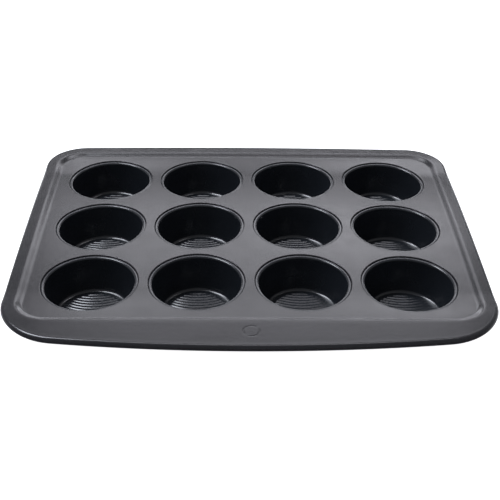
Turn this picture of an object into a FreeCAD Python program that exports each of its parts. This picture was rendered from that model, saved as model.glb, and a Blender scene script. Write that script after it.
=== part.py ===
import FreeCAD, Part
import os
from math import radians, sqrt
import Sketcher

# Twelve-cup muffin tin: a pressed top sheet with a wired, rolled rim, and twelve drawn cups whose
# flanges seat in ledges round the holes of the sheet. Millimetres, +Z up, z = 0 where it stands.

SIZES = {
    # cup grid
    "pitch_x": 85.0,
    "half_pitch_x": 42.5,
    "pitch_y": 85.0,
    # thickness of the two sheets, and height of the deck's top face above the table
    "sheet": 0.8,
    "cup_sheet": 0.7,
    "deck_height": 31.3,
    # recessed deck, and the sloping step from it up to the flange
    "deck_half_x": 176.7,
    "deck_half_y": 132.8,
    "deck_corner": 21.0,
    "step_run": 4.2,
    "step_rise": 2.2,
    "step_bend": 4.0,
    # rim outline, measured to the middle of the rolled edge
    "rim_half_x": 189.2,
    "rim_back": 149.2,
    "rim_front": 166.8,
    "rim_back_bow": 7500.0,
    "rim_front_bow": 1250.0,
    "rim_back_corner": 34.0,
    "rim_front_corner": 47.1,
    "bead": 2.9,
    "wire_gap": 0.05,
    # ledge and collar round every hole
    "ledge_wall": 38.6,
    "ledge_edge": 0.7,
    "seat_drop": 0.9,
    "collar_bore": 36.3,
    "collar_bend": 1.1,
    "collar_depth": 4.8,
    # cup
    "flange_edge": 38.35,
    "mouth": 35.5,
    "lip_bend": 1.8,
    "neck_depth": 3.2,
    "foot_edge": 28.1,
    "corner_bend": 3.0,
    "disc": 25.5,
    "disc_slope": 0.9,
    "disc_rise": 0.9,
    # ridges pressed into the cup floor
    "ridge_pitch": 3.6,
    "ridge_first": -23.0,
    "ridge_curve": 42.0,
    "ridge_half": 1.3,
    "ridge_round": 2.1,
    "ridge_root": 0.3,
    "ridge_sweep": 70.0,
    "ridge_end": 25.3,
    # plain ring pressed into the front flange
    "ring_front": 151.2,
    "ring_outer": 6.5,
    "ring_inner": 5.4,
    "ring_depth": 0.25,
}
COLUMNS = 4
RIDGES = 14
ROWS = ("front", "middle", "back")
CURL_END = 390.0

V = FreeCAD.Vector
doc = FreeCAD.newDocument("MuffinTin")
table = doc.addObject("Spreadsheet::Sheet", "Dim")
for line, (alias, number) in enumerate(SIZES.items(), start=1):
    table.set("A%d" % line, alias)
    table.set("B%d" % line, str(number))
    table.setAlias("B%d" % line, alias)
doc.recompute()


# ------------------------------------------------------------------ formulas
def total(formula):
    """Value of a sum such as 'mouth + cup_sheet - 0.5'."""
    value, sign = 0.0, 1.0
    for word in formula.split():
        if word in ("+", "-"):
            sign = 1.0 if word == "+" else -1.0
        else:
            value += sign * SIZES[word] if word in SIZES else sign * float(word)
    return value


def linked(formula):
    """The same sum, written with the spreadsheet's names."""
    return " ".join("Dim." + word if word in SIZES else word for word in formula.split())


# ------------------------------------------------------------------ bodies and sketches
def new_body(label):
    body = doc.addObject("PartDesign::Body", label)
    body.Label = label
    return body


def datum(body, role):
    return next(item for item in body.Origin.OriginFeatures if item.Role == role)


def new_sketch(body, name, role="XY_Plane", **shift):
    """Sketch on an origin plane of the body, moved along its own x, y or z by a formula."""
    sketch = body.newObject("Sketcher::SketchObject", body.Name + "_" + name)
    sketch.AttachmentSupport = (datum(body, role), [""])
    sketch.MapMode = "FlatFace"
    for axis, formula in shift.items():
        sketch.setExpression("AttachmentOffset.Base." + axis, linked(formula))
    return sketch


def hold(sketch, kind, *where_and_formula):
    """Dimension bound to a formula; the last argument is the formula."""
    *where, formula = where_and_formula
    value = total(formula)
    index = sketch.addConstraint(Sketcher.Constraint(kind, *where, value))
    sketch.setExpression("Constraints[%d]" % index, linked(formula))


def pin(sketch, edge, end, x, y):
    """Fix a point of the sketch by formulas for its x and y."""
    for kind, axis, formula in (("DistanceX", -2, x), ("DistanceY", -1, y)):
        if formula == "0":
            sketch.addConstraint(Sketcher.Constraint("PointOnObject", edge, end, axis))
        else:
            hold(sketch, kind, -1, 1, edge, end, formula)


def outline(sketch, corners, arcs=None, loose=(), tangent=()):
    """Closed outline through corners, each a pair of formulas or, if loose, of numbers.

    arcs: edge number -> (radius formula, side); tangent: corners where the edges run on smoothly.
    """
    arcs = arcs or {}
    points = [V(x, y, 0) if i in loose else V(total(x), total(y), 0)
              for i, (x, y) in enumerate(corners)]
    ends = []
    for i, start in enumerate(points):
        stop = points[(i + 1) % len(points)]
        if i in arcs:
            radius, side = total(arcs[i][0]), arcs[i][1]
            chord = stop - start
            rise = radius - sqrt(max(radius ** 2 - chord.Length ** 2 / 4.0, 0.0))
            across = V(chord.y, -chord.x, 0).normalize() * side
            curve = Part.Arc(start, (start + stop) * 0.5 + across * rise, stop)
            ends.append((1, 2) if side > 0 else (2, 1))
        else:
            curve = Part.LineSegment(start, stop)
            ends.append((1, 2))
        sketch.addGeometry(curve, False)
    for i in range(len(points)):
        before = i - 1 if i else len(points) - 1
        kind = "Tangent" if i in tangent else "Coincident"
        sketch.addConstraint(Sketcher.Constraint(kind, before, ends[before][1], i, ends[i][0]))
        if i not in loose:
            pin(sketch, i, ends[i][0], *corners[i])
    for i, (radius, side) in arcs.items():
        hold(sketch, "Radius", i, radius)


def rounded_rectangle(sketch, half_x, half_y, corner):
    left, right = "- %s + %s" % (half_x, corner), "%s - %s" % (half_x, corner)
    low, high = "- %s + %s" % (half_y, corner), "%s - %s" % (half_y, corner)
    corners = [(left, "- " + half_y), (right, "- " + half_y), (half_x, low), (half_x, high),
               (right, half_y), (left, half_y), ("- " + half_x, high), ("- " + half_x, low)]
    outline(sketch, corners, arcs={i: (corner, 1) for i in (1, 3, 5, 7)})


def rim_outline(sketch):
    """Middle line of the rolled edge: straight sides, bowed front and back, round corners."""
    half_x = total("rim_half_x")

    def corner(reach, bow, radius):
        """Ends of the corner arc on the bowed edge and on the straight side."""
        x = half_x - radius
        y = sqrt((bow - radius) ** 2 - x ** 2)
        grow = bow / (bow - radius)
        return (x * grow, reach - bow + y * grow), (half_x, reach - bow + y)

    (fx, fy), (_, fs) = corner(*[total("rim_front" + k) for k in ("", "_bow", "_corner")])
    (bx, by), (_, bs) = corner(*[total("rim_back" + k) for k in ("", "_bow", "_corner")])
    corners = [("0", "- rim_front"), (fx, -fy), (half_x, -fs), (half_x, bs), (bx, by),
               (-bx, by), (-half_x, bs), (-half_x, -fs), (-fx, -fy)]
    arcs = {0: ("rim_front_bow", 1), 1: ("rim_front_corner", 1), 3: ("rim_back_corner", 1),
            4: ("rim_back_bow", 1), 5: ("rim_back_corner", 1), 7: ("rim_front_corner", 1),
            8: ("rim_front_bow", 1)}
    outline(sketch, corners, arcs=arcs, loose=range(1, 9), tangent=range(1, 9))
    for side, formula in ((2, "rim_half_x"), (6, "- rim_half_x")):
        sketch.addConstraint(Sketcher.Constraint("Vertical", side))
        hold(sketch, "DistanceX", -1, 1, side, 1, formula)
    for bow in (0, 4, 8):
        sketch.addConstraint(Sketcher.Constraint("PointOnObject", bow, 3, -2))
    hold(sketch, "DistanceY", -1, 1, 4, 3, "rim_back - rim_back_bow")


def circles(sketch, x, y, *radii):
    for i, radius in enumerate(radii):
        sketch.addGeometry(Part.Circle(V(total(x), total(y), 0), V(0, 0, 1), total(radius)), False)
        pin(sketch, i, 3, x, y)
        hold(sketch, "Radius", i, radius)


# ------------------------------------------------------------------ features
def feature(body, kind, name, sketch, **settings):
    item = body.newObject("PartDesign::" + kind, body.Name + "_" + name)
    item.Profile = sketch
    sketch.Visibility = False
    for key, setting in settings.items():
        if isinstance(setting, str) and key in ("Length", "TaperAngle", "Angle"):
            item.setExpression(key, setting)
        else:
            setattr(item, key, setting)
    doc.recompute()
    return item


def sweep(body, name, section, spine):
    item = body.newObject("PartDesign::AdditivePipe", body.Name + "_" + name)
    item.Profile = section
    item.Spine = (spine, ["Edge%d" % (i + 1) for i in range(spine.GeometryCount)])
    doc.recompute()
    return item


def turn(body, kind, name, sketch, axis="V_Axis", angle=360.0, both_ways=False):
    item = body.newObject("PartDesign::" + kind, body.Name + "_" + name)
    item.Profile = sketch
    item.ReferenceAxis = (sketch, [axis])
    item.Angle = angle
    item.Midplane = both_ways
    doc.recompute()
    return item


def linear(body, name, axis, count, pitch):
    item = body.newObject("PartDesign::LinearPattern", body.Name + "_" + name)
    item.Direction = (datum(body, axis), [""])
    item.Mode = "Spacing"
    item.setExpression("Offset", pitch)
    item.Occurrences = count
    return item


# ------------------------------------------------------------------ top sheet
GRID_Y = "(Dim.rim_front - Dim.rim_back) / 2"
STEP_SLOPE = "atan(Dim.step_run / Dim.step_rise)"
deck = new_body("deck")

sketch = new_sketch(deck, "flange_outline", z="step_rise - sheet")
rim_outline(sketch)
feature(deck, "Pad", "flange", sketch, Length="Dim.sheet")

sketch = new_sketch(deck, "tray_outline", z="- sheet")
rounded_rectangle(sketch, "deck_half_x", "deck_half_y", "deck_corner")
feature(deck, "Pad", "tray", sketch, Length="Dim.step_rise", TaperAngle=STEP_SLOPE)

sketch = new_sketch(deck, "recess_outline")
rounded_rectangle(sketch, "deck_half_x", "deck_half_y", "deck_corner")
feature(deck, "Pocket", "recess", sketch, Length="Dim.step_rise", TaperAngle=STEP_SLOPE, Reversed=True)


def bend(body, name, height, radius):
    """Round the step's edges at one height; the rim's own edges lie further out and stay sharp."""
    before = body.Tip
    level = total(height)
    reach_x, reach_y = total("deck_half_x + step_run + 1"), total("deck_half_y + step_run + 1")
    chosen = []
    for i, edge in enumerate(before.Shape.Edges, start=1):
        box = edge.BoundBox
        flat = abs(box.ZMin - level) < 0.01 and abs(box.ZMax - level) < 0.01
        if flat and box.XMax - box.XMin < 2 * reach_x and abs(box.Center.x) < reach_x \
                and max(abs(box.YMin), abs(box.YMax)) < reach_y:
            chosen.append("Edge%d" % i)
    item = body.newObject("PartDesign::Fillet", body.Name + "_" + name)
    item.Base = (before, chosen)
    item.setExpression("Radius", linked(radius))
    doc.recompute()


bend(deck, "top_crease", "0", "step_bend")
bend(deck, "top_shoulder", "step_rise", "step_bend")
bend(deck, "under_crease", "- sheet", "step_bend")
bend(deck, "under_shoulder", "step_rise - sheet", "step_bend")

# rolled edge: an open curl of sheet run round the outline
spine = new_sketch(deck, "curl_path", z="step_rise - bead")
rim_outline(spine)
section = new_sketch(deck, "curl_section", "YZ_Plane", x="- rim_front", y="step_rise - bead")
start, stop = radians(90.0), radians(CURL_END)
for i, radius in enumerate(("bead", "bead - sheet")):
    circle = Part.Circle(V(0, 0, 0), V(0, 0, 1), total(radius))
    section.addGeometry(Part.ArcOfCircle(circle, start, stop), False)
    section.addConstraint(Sketcher.Constraint("Coincident", i, 3, -1, 1))
    section.addConstraint(Sketcher.Constraint("PointOnObject", i, 1, -2))
    hold(section, "Radius", i, radius)
outer, inner = section.Geometry
section.addGeometry(Part.LineSegment(outer.EndPoint, inner.EndPoint), False)
section.addGeometry(Part.LineSegment(inner.StartPoint, outer.StartPoint), False)
for a, b, c, d in ((0, 2, 2, 1), (2, 2, 1, 2), (1, 1, 3, 1), (3, 2, 0, 1)):
    section.addConstraint(Sketcher.Constraint("Coincident", a, b, c, d))
section.addConstraint(Sketcher.Constraint("PointOnObject", -1, 1, 2))
section.addConstraint(Sketcher.Constraint("Angle", 2, radians(CURL_END - 180.0)))
doc.recompute()
sweep(deck, "curl", section, spine)

# holes for the cups: each has a ledge for the cup's flange and a short collar round its neck
sketch = new_sketch(deck, "hole_outline", x="- pitch_x - half_pitch_x", y="- pitch_y")
circles(sketch, "0", "0", "ledge_wall + sheet")
hole = feature(deck, "Pocket", "hole", sketch, Type="ThroughAll", Midplane=True)

sketch = new_sketch(deck, "ledge_section", "XZ_Plane", x="- pitch_x - half_pitch_x", z="pitch_y")
seat = "- seat_drop - cup_sheet"
outline(sketch, [
    ("ledge_wall + sheet", "0"),
    ("ledge_wall + sheet", seat + " - sheet"),
    ("collar_bore + sheet", seat + " - sheet"),
    ("collar_bore + sheet", "- collar_depth"),
    ("collar_bore", "- collar_depth"),
    ("collar_bore", seat + " - collar_bend"),
    ("collar_bore + collar_bend", seat),
    ("ledge_wall", seat),
    ("ledge_wall", "- ledge_edge"),
    ("ledge_wall + ledge_edge", "0"),
], arcs={5: ("collar_bend", -1), 8: ("ledge_edge", -1)})
ledge = turn(deck, "Revolution", "ledge", sketch)
grid = deck.newObject("PartDesign::MultiTransform", "deck_grid")
grid.Originals = [hole, ledge]
columns = linear(deck, "columns", "X_Axis", COLUMNS, "Dim.pitch_x")
rows = linear(deck, "rows", "Y_Axis", len(ROWS), "Dim.pitch_y")
grid.Transformations = [columns, rows]
deck.Tip = grid
doc.recompute()

# plain ring pressed into the middle of the front flange
sketch = new_sketch(deck, "ring_outline", z="step_rise")
circles(sketch, "0", "- ring_front", "ring_outer", "ring_inner")
feature(deck, "Pocket", "ring", sketch, Length="Dim.ring_depth")

# ------------------------------------------------------------------ wire inside the rolled edge
wire = new_body("rim_wire")
spine = new_sketch(wire, "path", z="step_rise - bead")
rim_outline(spine)
section = new_sketch(wire, "section", "YZ_Plane", x="- rim_front", y="step_rise - bead")
circles(section, "0", "0", "bead - sheet - wire_gap")
sweep(wire, "wire", section, spine)

# ------------------------------------------------------------------ cups
def build_cup(label, column, row):
    cup = new_body(label)
    cup.AllowCompound = True

    # ridges across the floor, all curved alike, cut off at the edge of the raised disc
    sketch = new_sketch(cup, "ridge_section", "YZ_Plane", x="ridge_first", y="disc_rise + cup_sheet")
    outline(sketch, [("- ridge_half", "- ridge_root"), ("ridge_half", "- ridge_root"),
                     ("ridge_half", "0"), ("- ridge_half", "0")], arcs={2: ("ridge_round", 1)})
    far = total("ridge_curve")
    axis = sketch.addGeometry(Part.LineSegment(V(far, 0, 0), V(far, 1, 0)), True)
    pin(sketch, axis, 1, "ridge_curve", "0")
    pin(sketch, axis, 2, "ridge_curve", "1")
    ridge = turn(cup, "Revolution", "ridge", sketch, "Axis0", total("ridge_sweep"), True)
    ridges = linear(cup, "ridges", "Y_Axis", RIDGES, "Dim.ridge_pitch")
    ridges.Originals = [ridge]
    cup.Tip = ridges
    doc.recompute()
    sketch = new_sketch(cup, "ridge_limit", "XZ_Plane")
    outline(sketch, [("ridge_end", "0"), ("ridge_end + ridge_curve", "0"),
                     ("ridge_end + ridge_curve", "deck_height"), ("ridge_end", "deck_height")])
    turn(cup, "Groove", "trim", sketch)

    # drawn shell: raised disc, foot, tapering wall, neck and flange
    top = "deck_height - seat_drop"
    sketch = new_sketch(cup, "shell_section", "XZ_Plane")
    outline(sketch, [
        ("0", "disc_rise"),
        ("disc", "disc_rise"),
        ("disc + disc_slope", "0"),
        ("foot_edge", "0"),
        (31.2, 3.0),
        ("mouth + cup_sheet", "deck_height - neck_depth"),
        ("mouth + cup_sheet", top + " - lip_bend"),
        ("mouth + lip_bend", top + " - cup_sheet"),
        ("flange_edge", top + " - cup_sheet"),
        ("flange_edge", top),
        ("mouth + lip_bend", top),
        ("mouth", top + " - lip_bend"),
        ("mouth", "deck_height - neck_depth"),
        (30.5, 3.2),
        ("foot_edge", "cup_sheet"),
        ("disc + disc_slope", "cup_sheet"),
        ("disc", "disc_rise + cup_sheet"),
        ("0", "disc_rise + cup_sheet"),
    ], arcs={3: ("corner_bend + cup_sheet", 1), 6: ("lip_bend - cup_sheet", -1),
             10: ("lip_bend", 1), 13: ("corner_bend", -1)},
        loose=(4, 13), tangent=(3, 4, 13, 14))
    turn(cup, "Revolution", "shell", sketch)
    cup.setExpression("Placement.Base.x", "(%d - 1.5) * Dim.pitch_x" % column)
    cup.setExpression("Placement.Base.y", "(%d - 1) * Dim.pitch_y + %s" % (row, GRID_Y))
    return cup


cups = [build_cup("cup_%s_%d" % (name, column + 1), column, row)
        for row, name in enumerate(ROWS) for column in range(COLUMNS)]
for body in (deck, wire):
    body.setExpression("Placement.Base.y", GRID_Y)
    body.setExpression("Placement.Base.z", "Dim.deck_height")
doc.recompute()

# ------------------------------------------------------------------ checks and files
for item in doc.Objects:
    if "Invalid" in item.State or "Error" in item.State:
        raise RuntimeError("%s did not recompute" % item.Label)
os.makedirs("parts", exist_ok=True)
for body in [deck, wire] + cups:
    shape = body.Shape
    if shape.isNull() or not shape.isValid() or len(shape.Solids) != 1:
        raise RuntimeError("%s is not one sound solid" % body.Label)
    shape.exportStep("parts/%s.step" % body.Label)
    print("%-14s %8.1f mm3  %s" % (body.Label, shape.Volume, shape.BoundBox))
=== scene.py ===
from math import atan2, cos, exp, hypot, pi, radians, sin, sqrt, tan

import bmesh
import bpy
import numpy as np
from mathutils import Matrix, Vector, noise


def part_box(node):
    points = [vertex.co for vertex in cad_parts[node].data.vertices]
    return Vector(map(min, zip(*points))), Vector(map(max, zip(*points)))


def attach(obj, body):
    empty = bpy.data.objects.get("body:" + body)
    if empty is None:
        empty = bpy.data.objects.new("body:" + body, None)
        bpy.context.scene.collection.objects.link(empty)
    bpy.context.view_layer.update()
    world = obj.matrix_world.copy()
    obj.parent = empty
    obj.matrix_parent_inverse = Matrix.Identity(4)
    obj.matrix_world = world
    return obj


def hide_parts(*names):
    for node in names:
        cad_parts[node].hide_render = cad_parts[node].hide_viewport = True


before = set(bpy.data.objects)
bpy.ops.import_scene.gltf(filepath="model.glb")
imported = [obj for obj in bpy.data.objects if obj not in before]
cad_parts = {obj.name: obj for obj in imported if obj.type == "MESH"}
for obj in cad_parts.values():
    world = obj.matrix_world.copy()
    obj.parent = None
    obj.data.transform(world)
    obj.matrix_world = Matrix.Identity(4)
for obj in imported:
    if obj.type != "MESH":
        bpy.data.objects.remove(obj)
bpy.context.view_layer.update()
MM = 0.001

# ------------------------------------------------------------------ sizes, in millimetres
# the grid of cups and the heights come from the frame
COLUMNS = 4
ROWS = ("front", "middle", "back")


def cup_name(row, column):
    return "cup_%s_%d" % (ROWS[row], column + 1)


def middle(node):
    low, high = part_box(node)
    return (low + high) / 2 / MM


def cup_centre(row, column):
    """Where a cup sits on the grid, from the grid's middle."""
    return (column - (COLUMNS - 1) / 2) * PITCH_X, (row - (len(ROWS) - 1) / 2) * PITCH_Y


FIRST, LAST = middle(cup_name(0, 0)), middle(cup_name(len(ROWS) - 1, COLUMNS - 1))
PITCH_X = (LAST.x - FIRST.x) / (COLUMNS - 1)
PITCH_Y = (LAST.y - FIRST.y) / (len(ROWS) - 1)
GRID = Vector(((FIRST.x + LAST.x) / 2, (FIRST.y + LAST.y) / 2))
FLANGE_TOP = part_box("deck")[1].z / MM
STEP_RISE = 2.2
DECK_TOP = FLANGE_TOP - STEP_RISE

SHEET, CUP_SHEET = 0.8, 0.7
DECK_HALF = (176.7, 132.8)
DECK_CORNER = 21.0
STEP_RUN, STEP_BEND = 4.2, 4.0
STEP_END = STEP_RUN + STEP_BEND * tan(atan2(STEP_RISE, STEP_RUN) / 2) + 0.6
RIM_HALF_X, RIM_BACK, RIM_FRONT = 189.2, 149.2, 166.8
BACK_BOW, FRONT_BOW = 7500.0, 1250.0
BACK_CORNER, FRONT_CORNER = 34.0, 47.1
STRAIGHT = 1.0e6
BEAD, CURL_END = 2.9, 390.0
NEAR_RIM = -0.6                            # the flange ends just inside the top of the rolled edge
WIRE = BEAD - SHEET - 0.05
LEDGE_WALL, LEDGE_EDGE = 38.6, 0.7
SEAT_DROP = 1.6
COLLAR_BORE, COLLAR_BEND, COLLAR_DEPTH = 36.3, 1.1, 4.8
RING_Y, RING_OUTER, RING_INNER, RING_DEPTH = -151.2, 6.5, 5.4, 0.25

FLANGE_EDGE, FLANGE_DROP = 38.35, 0.9
MOUTH, LIP_BEND, NECK_DEPTH, NECK_BEND = 35.5, 1.8, 3.2, 6.0
FOOT_EDGE, CORNER_BEND = 28.1, 3.0
DISC, DISC_SLOPE, DISC_RISE = 25.5, 0.9, 0.9
RIDGES, RIDGE_PITCH, RIDGE_FIRST = 14, 3.6, -23.0
RIDGE_CURVE, RIDGE_HALF, RIDGE_ROUND, RIDGE_END = 42.0, 1.3, 2.1, 25.3

SIDE = 48          # points along each side of a cell of the deck
TURN = 96          # points round a cup
WIRE_SIDES = 16    # and round the wire
RING_SIDES = 64    # and round the pressed ring
CURL_STEPS = 26    # and steps along the rolled edge's section

# the sheet has sunk a little from its middle towards its ends, taking the cups with it
SAG_X, SAG_Y = 1.042e-4, 1.939e-4          # drop per square millimetre from the middle
SAG_FREE_X, SAG_FREE_Y = 135.0, 95.0       # how far out the sheet bends freely
SAG_EASE_X, SAG_EASE_Y = 20.0, 25.2        # and how soon it then runs level
SAG_HELD = 0.8                             # share of the lengthwise bend that the rim takes out
SAG_HELD_OVER = 40.0                       # and the distance over which that share grows
FLANGE_FALL = 0.035                        # slope of the flange, down to the rim
BROAD_WAVE, FINE_WAVE = 0.05, 0.015        # unevenness of the pressed sheet
STILL, FADE = 4.0, 10.0                    # strip at the rim without it, and strip over which it grows
FRONT_EASE = 9.6                           # rough allowance for the bow of the front edge


def sag(x, y):
    """Drop of the sheet at a point of the grid, below its middle."""
    def eased(reach, free, ease):
        reach = abs(reach)
        return reach if reach < free else free + ease * (1 - exp((free - reach) / ease))
    held = min(max((abs(y) - SAG_FREE_Y) / SAG_HELD_OVER, 0.0), 1.0)
    held = SAG_HELD * held * held * (3 - 2 * held)
    return (SAG_Y * eased(y, SAG_FREE_Y, SAG_EASE_Y) ** 2
            + SAG_X * eased(x, SAG_FREE_X, SAG_EASE_X) ** 2 * (1 - held))


def sunk(x, y, z):
    """Where a point of the level tin goes when the sheet sinks and tilts; z from the deck's top."""
    lean_x = sag(x + 0.5, y) - sag(x - 0.5, y)
    lean_y = sag(x, y + 0.5) - sag(x, y - 0.5)
    return x + lean_x * z, y + lean_y * z, z - sag(x, y)


def lowest_foot():
    """Height of the lowest point under a corner cup, from the deck's top."""
    cx, cy = cup_centre(len(ROWS) - 1, COLUMNS - 1)
    return min(sunk(cx + FOOT_EDGE * cos(radians(turn)), cy + FOOT_EDGE * sin(radians(turn)), -DECK_TOP)[2]
               for turn in range(0, 360, 3))


# how far the sunk tin is raised so that its lowest cup stands on the table
LIFT = -DECK_TOP - lowest_foot()


# ------------------------------------------------------------------ mesh tools
class Sheet:
    """Points and faces of one thin sheet's upper face, gathered loop by loop."""

    def __init__(self):
        self.points = []
        self.faces = []

    def loop(self, points):
        first = len(self.points)
        self.points.extend(points)
        return list(range(first, len(self.points)))

    def bridge(self, a, b, closed=True):
        """Quads between two loops with the same number of points."""
        count = len(a)
        for i in range(count if closed else count - 1):
            j = (i + 1) % count
            self.faces.append((a[i], a[j], b[j], b[i]))

    def stitch(self, inner, outer, centre):
        """Triangles between two loops round a centre, whatever their numbers of points."""
        def turned(loop):
            spots = [(atan2(self.points[i][1] - centre[1], self.points[i][0] - centre[0]), i)
                     for i in loop]
            start = spots.index(min(spots))
            return spots[start:] + spots[:start]
        a, b = turned(inner), turned(outer)
        i = j = 0
        while i < len(a) or j < len(b):
            next_a = a[(i + 1) % len(a)][0] + (2 * pi if i + 1 >= len(a) else 0)
            next_b = b[(j + 1) % len(b)][0] + (2 * pi if j + 1 >= len(b) else 0)
            if j >= len(b) or (i < len(a) and next_a <= next_b):
                self.faces.append((a[i % len(a)][1], b[j % len(b)][1], a[(i + 1) % len(a)][1]))
                i += 1
            else:
                self.faces.append((a[i % len(a)][1], b[j % len(b)][1], b[(j + 1) % len(b)][1]))
                j += 1


def arc(centre, radius, start, stop, steps):
    """Points (across, up) along an arc, both ends included; angles in degrees."""
    return [(centre[0] + radius * cos(radians(start + (stop - start) * i / steps)),
             centre[1] + radius * sin(radians(start + (stop - start) * i / steps)))
            for i in range(steps + 1)]


def run(start, stop, steps):
    """Points between two ends, both left out."""
    return [(start[0] + (stop[0] - start[0]) * i / steps, start[1] + (stop[1] - start[1]) * i / steps)
            for i in range(1, steps)]


def placed(points):
    """Points of the grid, z from the deck's top, in the frame's metres."""
    moved = np.array([sunk(*point) for point in points], float)
    return (moved + np.array((GRID.x, GRID.y, DECK_TOP + LIFT))) * MM


def make_piece(name, sheet, thickness, material):
    """Object of an upper face thickened downwards, smooth but for its cut edges."""
    mesh = bpy.data.meshes.new(name)
    points = placed(sheet.points)
    mesh.from_pydata(points.tolist(), [], sheet.faces)
    work = bmesh.new()
    work.from_mesh(mesh)
    bmesh.ops.remove_doubles(work, verts=work.verts, dist=0.002 * MM)
    bmesh.ops.dissolve_degenerate(work, edges=work.edges, dist=0.002 * MM)
    bmesh.ops.recalc_face_normals(work, faces=work.faces)
    work.faces.ensure_lookup_table()
    highest = max(work.faces, key=lambda face: face.calc_center_median().z * abs(face.normal.z))
    if highest.normal.z < 0:
        bmesh.ops.reverse_faces(work, faces=work.faces)
    work.to_mesh(mesh)
    work.free()
    piece = bpy.data.objects.new(name, mesh)
    bpy.context.scene.collection.objects.link(piece)
    solid = piece.modifiers.new("sheet", "SOLIDIFY")
    solid.thickness = thickness * MM
    solid.offset = -1.0
    bpy.context.view_layer.update()
    shell = bpy.data.meshes.new_from_object(piece.evaluated_get(bpy.context.evaluated_depsgraph_get()))
    piece.modifiers.clear()
    piece.data = shell
    bpy.data.meshes.remove(mesh)
    shell.name = name
    for face in shell.polygons:
        face.use_smooth = True
    shell.set_sharp_from_angle(angle=radians(50))
    shell.materials.clear()
    shell.materials.append(material)
    return piece


# ------------------------------------------------------------------ materials
def shader(name):
    material = bpy.data.materials.new(name)
    material.use_nodes = True
    nodes = material.node_tree.nodes
    return material, nodes, material.node_tree.links, nodes["Principled BSDF"]


def coating(name, tone, roughness, grain, seed):
    """Non-stick coating: fine pebbled grain, faint clouding and slight changes of gloss."""
    material, nodes, links, surface = shader(name)
    place = nodes.new("ShaderNodeNewGeometry")
    shift = nodes.new("ShaderNodeVectorMath")
    shift.operation = "ADD"
    shift.inputs[1].default_value = (seed, seed * 0.7, seed * 1.3)
    links.new(place.outputs["Position"], shift.inputs[0])

    def cloud(scale, detail, rough=0.5):
        mist = nodes.new("ShaderNodeTexNoise")
        mist.inputs["Scale"].default_value = scale
        mist.inputs["Detail"].default_value = detail
        mist.inputs["Roughness"].default_value = rough
        links.new(shift.outputs[0], mist.inputs["Vector"])
        return mist.outputs["Fac"]

    def spread(value, low, high):
        ramp = nodes.new("ShaderNodeMapRange")
        ramp.inputs["From Min"].default_value = 0.3
        ramp.inputs["From Max"].default_value = 0.7
        ramp.inputs["To Min"].default_value = low
        ramp.inputs["To Max"].default_value = high
        links.new(value, ramp.inputs["Value"])
        return ramp.outputs["Result"]

    def mix(a, b, factor):
        blend = nodes.new("ShaderNodeMix")
        blend.data_type = "RGBA"
        blend.inputs["A"].default_value = (*a, 1)
        blend.inputs["B"].default_value = (*b, 1)
        links.new(factor, blend.inputs["Factor"])
        return blend.outputs["Result"]

    dark = tuple(channel * 0.8 for channel in tone)
    light = tuple(channel * 1.25 for channel in tone)
    patches = cloud(28, 4)
    links.new(mix(dark, light, spread(patches, 0.2, 0.8)), surface.inputs["Base Color"])
    smudges = cloud(60, 5, 0.6)
    links.new(spread(smudges, roughness - 0.03, roughness + 0.03), surface.inputs["Roughness"])
    surface.inputs["Metallic"].default_value = 0.0
    surface.inputs["IOR"].default_value = 1.55
    surface.inputs["Specular IOR Level"].default_value = 0.5

    pebbles = cloud(2600, 3)
    ripple = cloud(240, 2)
    lumps = nodes.new("ShaderNodeMath")
    lumps.operation = "MULTIPLY_ADD"
    lumps.inputs[1].default_value = 0.15
    links.new(pebbles, lumps.inputs[0])
    links.new(ripple, lumps.inputs[2])
    bump = nodes.new("ShaderNodeBump")
    bump.inputs["Strength"].default_value = grain
    bump.inputs["Distance"].default_value = 0.0002
    links.new(lumps.outputs[0], bump.inputs["Height"])
    links.new(bump.outputs["Normal"], surface.inputs["Normal"])
    return material


def steel(name):
    """Steel wire: fine grain and a dull shine."""
    material, nodes, links, surface = shader(name)
    place = nodes.new("ShaderNodeNewGeometry")
    grain = nodes.new("ShaderNodeTexNoise")
    grain.inputs["Scale"].default_value = 900
    grain.inputs["Detail"].default_value = 4
    links.new(place.outputs["Position"], grain.inputs["Vector"])
    shade = nodes.new("ShaderNodeMapRange")
    shade.inputs["To Min"].default_value = 0.28
    shade.inputs["To Max"].default_value = 0.45
    links.new(grain.outputs["Fac"], shade.inputs["Value"])
    links.new(shade.outputs["Result"], surface.inputs["Roughness"])
    tint = nodes.new("ShaderNodeMix")
    tint.data_type = "RGBA"
    tint.inputs["A"].default_value = (0.42, 0.42, 0.43, 1)
    tint.inputs["B"].default_value = (0.56, 0.56, 0.57, 1)
    links.new(grain.outputs["Fac"], tint.inputs["Factor"])
    links.new(tint.outputs["Result"], surface.inputs["Base Color"])
    surface.inputs["Metallic"].default_value = 1.0
    bump = nodes.new("ShaderNodeBump")
    bump.inputs["Strength"].default_value = 0.2
    bump.inputs["Distance"].default_value = 0.0001
    links.new(grain.outputs["Fac"], bump.inputs["Height"])
    links.new(bump.outputs["Normal"], surface.inputs["Normal"])
    return material


DECK_COATING = coating("deck_coating", (0.012, 0.0120, 0.0145), roughness=0.23, grain=0.16, seed=3.1)
CUP_COATING = coating("cup_coating", (0.013, 0.0155, 0.0195), roughness=0.20, grain=0.06, seed=7.4)
WIRE_STEEL = steel("wire_steel")


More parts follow.
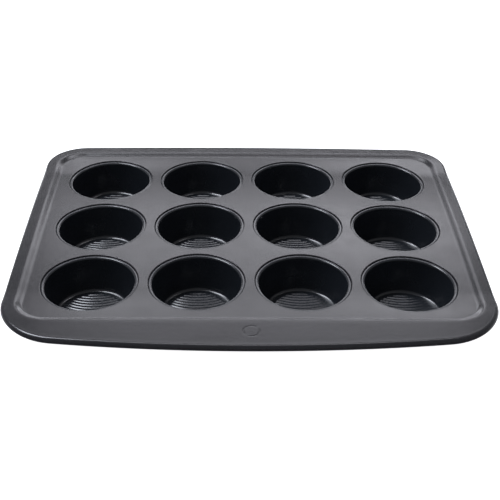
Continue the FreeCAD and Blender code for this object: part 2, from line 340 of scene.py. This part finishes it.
# ------------------------------------------------------------------ top sheet
# the cells' rectangle, and the points round it that every outline follows
EDGE_X, EDGE_Y = COLUMNS * PITCH_X / 2, len(ROWS) * PITCH_Y / 2
LONG, SHORT = COLUMNS * SIDE, len(ROWS) * SIDE
PERIMETER = ([(-EDGE_X + 2 * EDGE_X * i / LONG, -EDGE_Y) for i in range(LONG)]
             + [(EDGE_X, -EDGE_Y + 2 * EDGE_Y * i / SHORT) for i in range(SHORT)]
             + [(EDGE_X - 2 * EDGE_X * i / LONG, EDGE_Y) for i in range(LONG)]
             + [(-EDGE_X, EDGE_Y - 2 * EDGE_Y * i / SHORT) for i in range(SHORT)])


def outline(half_x, front, back, front_bow, back_bow, front_corner, back_corner, offset=0.0):
    """Point and outward normal of a rounded outline, for every point of the grid's perimeter."""
    corners = {}
    ends = ((-1, front, front_bow, front_corner), (1, back, back_bow, back_corner))
    for end, reach, bow, radius in ends:
        x = half_x - radius
        y = sqrt((bow - radius) ** 2 - x ** 2)
        lean = atan2(x, y)
        corners[end] = (x, end * (reach - bow + y), radius, lean, x + radius * sin(lean), reach, bow)

    def spot(x, y):
        """Where the perimeter point (x, y) of the cells' rectangle goes."""
        end, side = (1 if y > 0 else -1), (1 if x > 0 else -1)
        cx, cy, radius, lean, start_x, reach, bow = corners[end]
        along_x = max(min(abs(x), EDGE_X) - start_x, 0.0)
        along_y = max(min(abs(y), EDGE_Y) - abs(cy), 0.0)
        if abs(x) < EDGE_X - 1e-6 and along_x == 0.0:
            height = sqrt(bow ** 2 - x ** 2)
            return (x, end * (reach - bow + height)), (x / bow, end * height / bow)
        if abs(y) < EDGE_Y - 1e-6 and along_y == 0.0:
            return (side * half_x, y), (side, 0.0)
        full_x, full_y = EDGE_X - start_x, EDGE_Y - abs(cy)
        gone = along_x if abs(x) < EDGE_X - 1e-6 else full_x + full_y - along_y
        angle = lean + (pi / 2 - lean) * gone / (full_x + full_y)
        normal = (side * sin(angle), end * cos(angle))
        return (side * cx + radius * normal[0], cy + radius * normal[1]), normal

    spots = [spot(x, y) for x, y in PERIMETER]
    return [((px + nx * offset, py + ny * offset), (nx, ny)) for (px, py), (nx, ny) in spots]


def deck_outline(offset):
    return outline(DECK_HALF[0], DECK_HALF[1], DECK_HALF[1], STRAIGHT, STRAIGHT,
                   DECK_CORNER, DECK_CORNER, offset)


def rim_outline(offset):
    return outline(RIM_HALF_X, RIM_FRONT, RIM_BACK, FRONT_BOW, BACK_BOW,
                   FRONT_CORNER, BACK_CORNER, offset)


def rim_falls():
    """How far the flange has fallen where it meets the rim, round the outline."""
    return [FLANGE_FALL * hypot(b[0] - a[0], b[1] - a[1])
            for (a, _), (b, _) in zip(deck_outline(STEP_END), rim_outline(NEAR_RIM))]


def flat_wave(x, y):
    """Slight unevenness of a pressed sheet, in millimetres."""
    broad = noise.noise(Vector((x / 60.0, y / 60.0, 4.2)))
    fine = noise.noise(Vector((x / 22.0, y / 22.0, 9.7)))
    return BROAD_WAVE * broad + FINE_WAVE * fine


def add_cell(sheet, cx, cy):
    """One cell of the deck: flat sheet, rounded ledge, seat for the cup and turned-down collar."""
    half_x, half_y = PITCH_X / 2, PITCH_Y / 2
    border = ([(-half_x + PITCH_X * i / SIDE, -half_y) for i in range(SIDE)]
              + [(half_x, -half_y + PITCH_Y * i / SIDE) for i in range(SIDE)]
              + [(half_x - PITCH_X * i / SIDE, half_y) for i in range(SIDE)]
              + [(-half_x, half_y - PITCH_Y * i / SIDE) for i in range(SIDE)])
    edge = LEDGE_WALL + LEDGE_EDGE
    profile = [(edge + 0.2, 0.0)]
    profile += arc((edge, -LEDGE_EDGE), LEDGE_EDGE, 90, 180, 6)
    profile += [(LEDGE_WALL, -SEAT_DROP + 0.15), (LEDGE_WALL - 0.05, -SEAT_DROP + 0.05),
                (LEDGE_WALL - 0.15, -SEAT_DROP), (COLLAR_BORE + COLLAR_BEND + 0.2, -SEAT_DROP)]
    profile += arc((COLLAR_BORE + COLLAR_BEND, -SEAT_DROP - COLLAR_BEND), COLLAR_BEND, 90, 180, 4)
    profile += [(COLLAR_BORE, -SEAT_DROP - COLLAR_BEND - 0.3), (COLLAR_BORE, -COLLAR_DEPTH)]
    loops = [sheet.loop([(cx + x, cy + y, 0.0) for x, y in border])]
    for share in (0.72, 0.45, 0.22, 0.08):
        ring = []
        for x, y in border:
            reach = hypot(x, y)
            radius = (edge + 0.2) + (reach - edge - 0.2) * share
            ring.append((cx + x * radius / reach, cy + y * radius / reach, 0.0))
        loops.append(sheet.loop(ring))
    for radius, height in profile:
        loops.append(sheet.loop([(cx + x * radius / hypot(x, y), cy + y * radius / hypot(x, y), height)
                                 for x, y in border]))
    for outer, inner in zip(loops, loops[1:]):
        sheet.bridge(outer, inner)


def press_ring(sheet):
    """Swap the faces in the middle of the front flange for a plain pressed ring."""
    window = RING_OUTER + 3.0
    points = sheet.points

    def inside(face):
        return all(abs(points[i][0]) < window and abs(points[i][1] - RING_Y) < window for i in face)
    cut = [face for face in sheet.faces if inside(face)]
    kept = [face for face in sheet.faces if not inside(face)]
    sides = {(a, b) for face in cut for a, b in zip(face, face[1:] + face[:1])}
    follow = {a: b for a, b in sides if (b, a) not in sides}
    start = min(follow)
    hole = [start]
    while follow[hole[-1]] != start:
        hole.append(follow[hole[-1]])
    centre = (0.0, RING_Y)
    if sum((points[a][0] - centre[0]) * (points[b][1] - centre[1])
           - (points[b][0] - centre[0]) * (points[a][1] - centre[1])
           for a, b in zip(hole, hole[1:] + hole[:1])) < 0:
        hole.reverse()
    sheet.faces = kept
    soft = 0.12
    profile = [(RING_OUTER + 0.6, 0.0), (RING_OUTER + soft, 0.0), (RING_OUTER, -0.4 * RING_DEPTH),
               (RING_OUTER - soft, -RING_DEPTH), (RING_INNER + soft, -RING_DEPTH),
               (RING_INNER, -0.4 * RING_DEPTH), (RING_INNER - soft, 0.0), (RING_INNER - 0.6, 0.0),
               (RING_INNER * 0.5, 0.0)]

    def on_flange(radius, turn, height):
        y = centre[1] + radius * sin(turn)
        return (centre[0] + radius * cos(turn), y,
                STEP_RISE - FLANGE_FALL * (-y - DECK_HALF[1] - STEP_END) + height)
    loops = [sheet.loop([on_flange(radius, 2 * pi * i / RING_SIDES, height) for i in range(RING_SIDES)])
             for radius, height in profile]
    sheet.stitch(loops[0], hole, centre)
    for outer, inner in zip(loops, loops[1:]):
        sheet.bridge(outer, inner)
    hub = sheet.loop([on_flange(0.0, 0.0, 0.0)])[0]
    last = loops[-1]
    sheet.faces.extend((last[i], last[(i + 1) % RING_SIDES], hub) for i in range(RING_SIDES))


def build_deck():
    sheet = Sheet()
    for row in range(len(ROWS)):
        for column in range(COLUMNS):
            add_cell(sheet, *cup_centre(row, column))

    slope = atan2(STEP_RISE, STEP_RUN)
    lean = slope * 180 / pi
    reach = STEP_BEND * sin(slope / 2) / cos(slope / 2)
    crease = arc((-reach, STEP_BEND), STEP_BEND, -90, -90 + lean, 5)
    shoulder = arc((STEP_RUN + reach, STEP_RISE - STEP_BEND), STEP_BEND, 90 + lean, 90, 5)
    step = [(-reach - 0.8, 0.0)] + crease + run(crease[-1], shoulder[0], 2) + shoulder
    step.append((STEP_END, STEP_RISE))
    loops = [sheet.loop([(x, y, 0.0) for x, y in PERIMETER])]
    for offset, height in step:
        loops.append(sheet.loop([(x, y, height) for (x, y), _ in deck_outline(offset)]))
    inner = deck_outline(step[-1][0])
    rim = rim_outline(0.0)
    near = rim_outline(NEAR_RIM)
    falls = rim_falls()
    for share in (0.15, 0.3, 0.45, 0.6, 0.75, 0.9, 1.0):
        loops.append(sheet.loop([(a[0] + (b[0] - a[0]) * share, a[1] + (b[1] - a[1]) * share,
                                  STEP_RISE - fall * share)
                                 for (a, _), (b, _), fall in zip(inner, near, falls)]))
    for out, up in arc((0.0, STEP_RISE - BEAD), BEAD, 90, CURL_END, CURL_STEPS):
        loops.append(sheet.loop([(x - nx * out, y - ny * out, up - fall)
                                 for ((x, y), (nx, ny)), fall in zip(rim, falls)]))
    for a, b in zip(loops, loops[1:]):
        sheet.bridge(a, b)
    press_ring(sheet)
    sheet.points = [(x, y, z + flat_wave(x, y) * flatness(x, y)) for x, y, z in sheet.points]
    return make_piece("top_sheet", sheet, SHEET, DECK_COATING)


def flatness(x, y):
    """Share of the unevenness kept at a point: 1 on the deck and flange, 0 at the rolled edge."""
    front_edge = RIM_FRONT - FRONT_EASE * (x / RIM_HALF_X) ** 2
    gap = min(RIM_HALF_X - abs(x), y + front_edge, RIM_BACK - y)
    return min(max((gap - STILL) / FADE, 0.0), 1.0)


# ------------------------------------------------------------------ cups
def tangent_point(centre, radius, far):
    """Where the line from a far point touches a circle, on its outer lower side."""
    dx, dy = far[0] - centre[0], far[1] - centre[1]
    distance = hypot(dx, dy)
    angle = atan2(dy, dx) - atan2(sqrt(distance ** 2 - radius ** 2), radius)
    return centre[0] + radius * cos(angle), centre[1] + radius * sin(angle), angle * 180 / pi


def cup_profile():
    """Inner face of a cup from the ridged disc out to the flange's edge, as (radius, height)."""
    floor, raised = CUP_SHEET, DISC_RISE + CUP_SHEET
    top = DECK_TOP - FLANGE_DROP
    neck = (MOUTH, DECK_TOP - NECK_DEPTH)
    x, y, angle = tangent_point((FOOT_EDGE, floor + CORNER_BEND), CORNER_BEND, neck)
    profile = [(RIDGE_END + 0.15, raised), (DISC - 0.1, raised - 0.03), (DISC + 0.15, raised - 0.17)]
    profile += run((DISC + 0.15, raised - 0.17), (DISC + DISC_SLOPE - 0.15, floor + 0.17), 2)
    profile += [(DISC + DISC_SLOPE - 0.15, floor + 0.17), (DISC + DISC_SLOPE + 0.1, floor + 0.03),
                (DISC + DISC_SLOPE + 0.4, floor), (FOOT_EDGE - 0.4, floor)]
    profile += arc((FOOT_EDGE, floor + CORNER_BEND), CORNER_BEND, -90, angle, 10)
    wall = atan2(neck[1] - y, neck[0] - x)
    back = NECK_BEND * sin((pi / 2 - wall) / 2) / cos((pi / 2 - wall) / 2)
    low = (neck[0] - back * cos(wall), neck[1] - back * sin(wall))
    profile += run((x, y), low, 9)
    profile += arc((neck[0] - NECK_BEND, neck[1] + back), NECK_BEND, wall * 180 / pi - 90, 0, 4)
    profile += [(MOUTH, top - LIP_BEND - 0.1)]
    profile += arc((MOUTH + LIP_BEND, top - LIP_BEND), LIP_BEND, 180, 90, 8)
    profile += [(MOUTH + LIP_BEND + 0.15, top), (FLANGE_EDGE - 0.12, top), (FLANGE_EDGE, top - 0.1)]
    return profile


def add_ridged_disc(sheet):
    """Raised disc with curved ridges across it; returns the loop round its edge."""
    low = sqrt(RIDGE_ROUND ** 2 - RIDGE_HALF ** 2)
    raised = DISC_RISE + CUP_SHEET
    rows = []
    for i in range(RIDGES):
        for share in (-1.12, -0.9, -0.6, -0.3, 0.0, 0.3, 0.6, 0.9, 1.12):
            across = share * RIDGE_HALF
            base = RIDGE_FIRST + RIDGE_PITCH * i + across
            if abs(base) > RIDGE_END - 0.15:
                continue
            height = 0.0
            if abs(share) < 1:
                height = max(sqrt(max(RIDGE_ROUND ** 2 - across ** 2, 0.0)) - low, 0.0)
            radius = RIDGE_CURVE - across
            centre = base + radius
            end_y = (RIDGE_END ** 2 - radius ** 2 + centre ** 2) / (2 * centre)
            end_x = sqrt(RIDGE_END ** 2 - end_y ** 2)
            row = []
            for k in range(29):
                x = end_x * sin(pi / 2 * (k / 14 - 1))
                y = centre - sqrt(radius ** 2 - x ** 2)
                fade = min(max((RIDGE_END - hypot(x, y)) / 1.4, 0.0), 1.0)
                row.append((x, y, raised + height * fade * fade * (3 - 2 * fade)))
            rows.append(sheet.loop(row))
    for a, b in zip(rows, rows[1:]):
        sheet.bridge(a, b, closed=False)
    return (rows[0][:-1] + [row[-1] for row in rows[:-1]]
            + rows[-1][:0:-1] + [row[0] for row in rows[:0:-1]])


def build_cup(row, column):
    sheet = Sheet()
    disc = add_ridged_disc(sheet)
    loops = [sheet.loop([(radius * cos(2 * pi * i / TURN), radius * sin(2 * pi * i / TURN), height)
                         for i in range(TURN)]) for radius, height in cup_profile()]
    sheet.stitch(disc, loops[0], (0.0, 0.0))
    for a, b in zip(loops, loops[1:]):
        sheet.bridge(b, a)
    cx, cy = cup_centre(row, column)
    sheet.points = [(cx + x, cy + y, z - DECK_TOP) for x, y, z in sheet.points]
    name = cup_name(row, column).replace("cup", "drawn_cup")
    return make_piece(name, sheet, CUP_SHEET, CUP_COATING)


def build_wire():
    """Closed loop of round wire inside the rolled edge; returns its object."""
    path = rim_outline(0.0)
    falls = rim_falls()
    points, faces = [], []
    for turn in range(WIRE_SIDES):
        angle = 2 * pi * turn / WIRE_SIDES
        out, up = WIRE * cos(angle), WIRE * sin(angle)
        points += [(x + nx * out, y + ny * out, STEP_RISE - BEAD - fall + up)
                   for ((x, y), (nx, ny)), fall in zip(path, falls)]
    count = len(path)
    for turn in range(WIRE_SIDES):
        this, other = turn * count, (turn + 1) % WIRE_SIDES * count
        faces += [(this + i, this + (i + 1) % count, other + (i + 1) % count, other + i)
                  for i in range(count)]
    mesh = bpy.data.meshes.new("rolled_in_wire")
    mesh.from_pydata(placed(points).tolist(), [], faces)
    work = bmesh.new()
    work.from_mesh(mesh)
    bmesh.ops.recalc_face_normals(work, faces=work.faces)
    work.to_mesh(mesh)
    work.free()
    for face in mesh.polygons:
        face.use_smooth = True
    mesh.materials.append(WIRE_STEEL)
    piece = bpy.data.objects.new("rolled_in_wire", mesh)
    bpy.context.scene.collection.objects.link(piece)
    return piece


top_sheet = build_deck()
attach(top_sheet, "root")
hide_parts("deck")
for row in range(len(ROWS)):
    for column in range(COLUMNS):
        cup = build_cup(row, column)
        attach(cup, "root")
        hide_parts(cup_name(row, column))
wire = build_wire()
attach(wire, "root")
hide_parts("rim_wire")

# ------------------------------------------------------------------ studio
floor_mesh = bpy.data.meshes.new("floor")
REACH = 6.0
floor_mesh.from_pydata([(-REACH, -REACH, 0), (REACH, -REACH, 0), (REACH, REACH, 0), (-REACH, REACH, 0)],
                       [], [(0, 1, 2, 3)])
floor = bpy.data.objects.new("floor", floor_mesh)
bpy.context.scene.collection.objects.link(floor)
pale, _, _, surface = shader("pale_floor")
surface.inputs["Base Color"].default_value = (0.9, 0.9, 0.9, 1)
surface.inputs["Roughness"].default_value = 0.9
surface.inputs["Specular IOR Level"].default_value = 0.1
surface.inputs["Emission Color"].default_value = (1, 1, 1, 1)
surface.inputs["Emission Strength"].default_value = 1.0
floor_mesh.materials.append(pale)
floor.visible_glossy = False

world = bpy.data.worlds.new("studio")
bpy.context.scene.world = world
world.use_nodes = True
nodes, links = world.node_tree.nodes, world.node_tree.links
background = nodes["Background"]
direction = nodes.new("ShaderNodeTexCoord")
split = nodes.new("ShaderNodeSeparateXYZ")
links.new(direction.outputs["Generated"], split.inputs[0])


def ranged(value, start, stop, low, high):
    """Value mapped from start..stop to low..high; low and high may be node outputs."""
    ramp = nodes.new("ShaderNodeMapRange")
    ramp.inputs["From Min"].default_value, ramp.inputs["From Max"].default_value = start, stop
    for socket, end in (("To Min", low), ("To Max", high)):
        if isinstance(end, float):
            ramp.inputs[socket].default_value = end
        else:
            links.new(end, ramp.inputs[socket])
    links.new(value, ramp.inputs["Value"])
    return ramp.outputs["Result"]


# a dim room, darker on the near side, over a ground that is bright behind the tin only
room = ranged(split.outputs["Y"], -0.5, 0.4, 0.22, 0.36)
ground = ranged(split.outputs["Y"], -0.1, 0.6, 0.03, 1.1)
links.new(ranged(split.outputs["Z"], -0.02, 0.03, ground, room), background.inputs["Strength"])
background.inputs["Color"].default_value = (0.94, 0.95, 1.0, 1)

COOL = (0.93, 0.93, 1.0)
AIM = Vector((GRID.x * MM, GRID.y * MM, (DECK_TOP + LIFT) * MM))


def panel(name, azimuth, elevation, distance, width, height, radiance, colour):
    """Soft box aimed at the tin; azimuth from +Y towards +X."""
    data = bpy.data.lights.new(name, "AREA")
    data.shape = "RECTANGLE"
    data.size, data.size_y = width, height
    data.energy = radiance * pi * width * height
    data.color = colour
    light = bpy.data.objects.new(name, data)
    away = Vector((sin(radians(azimuth)) * cos(radians(elevation)),
                   cos(radians(azimuth)) * cos(radians(elevation)), sin(radians(elevation))))
    light.location = AIM + away * distance
    light.rotation_euler = away.to_track_quat("Z", "Y").to_euler()
    bpy.context.scene.collection.objects.link(light)


# azimuth, elevation, distance, width, height, radiance
panel("back_light", 3, 35.2, 3.0, 1.75, 0.80, 2.35, COOL)
panel("low_light", 3, 29.2, 2.95, 1.6, 0.22, 1.2, COOL)
panel("right_light", 11, 30, 2.9, 0.6, 0.3, 1.3, COOL)
panel("horizon_light", 2, 7.5, 3.0, 4.5, 0.4, 3.2, COOL)
panel("high_light", 5, 68, 2.5, 1.6, 0.5, 5.0, COOL)
panel("left_light", -72, 60, 2.5, 1.0, 1.0, 14.0, (0.88, 0.92, 1.0))

# ------------------------------------------------------------------ camera
camera_data = bpy.data.cameras.new("camera")
camera_data.sensor_width = 36.0
camera_data.lens = 72.558
camera = bpy.data.objects.new("camera", camera_data)
CAMERA_FROM_AIM = Vector((-0.016909, -0.748635, 0.448348))
CAMERA_TILT, CAMERA_ROLL, CAMERA_TURN = 57.647, -0.8617, -0.8733
camera.location = AIM + CAMERA_FROM_AIM
camera.rotation_euler = (radians(CAMERA_TILT), radians(CAMERA_ROLL), radians(CAMERA_TURN))
bpy.context.scene.collection.objects.link(camera)
bpy.context.scene.camera = camera
bpy.context.scene.view_settings.view_transform = "Standard"
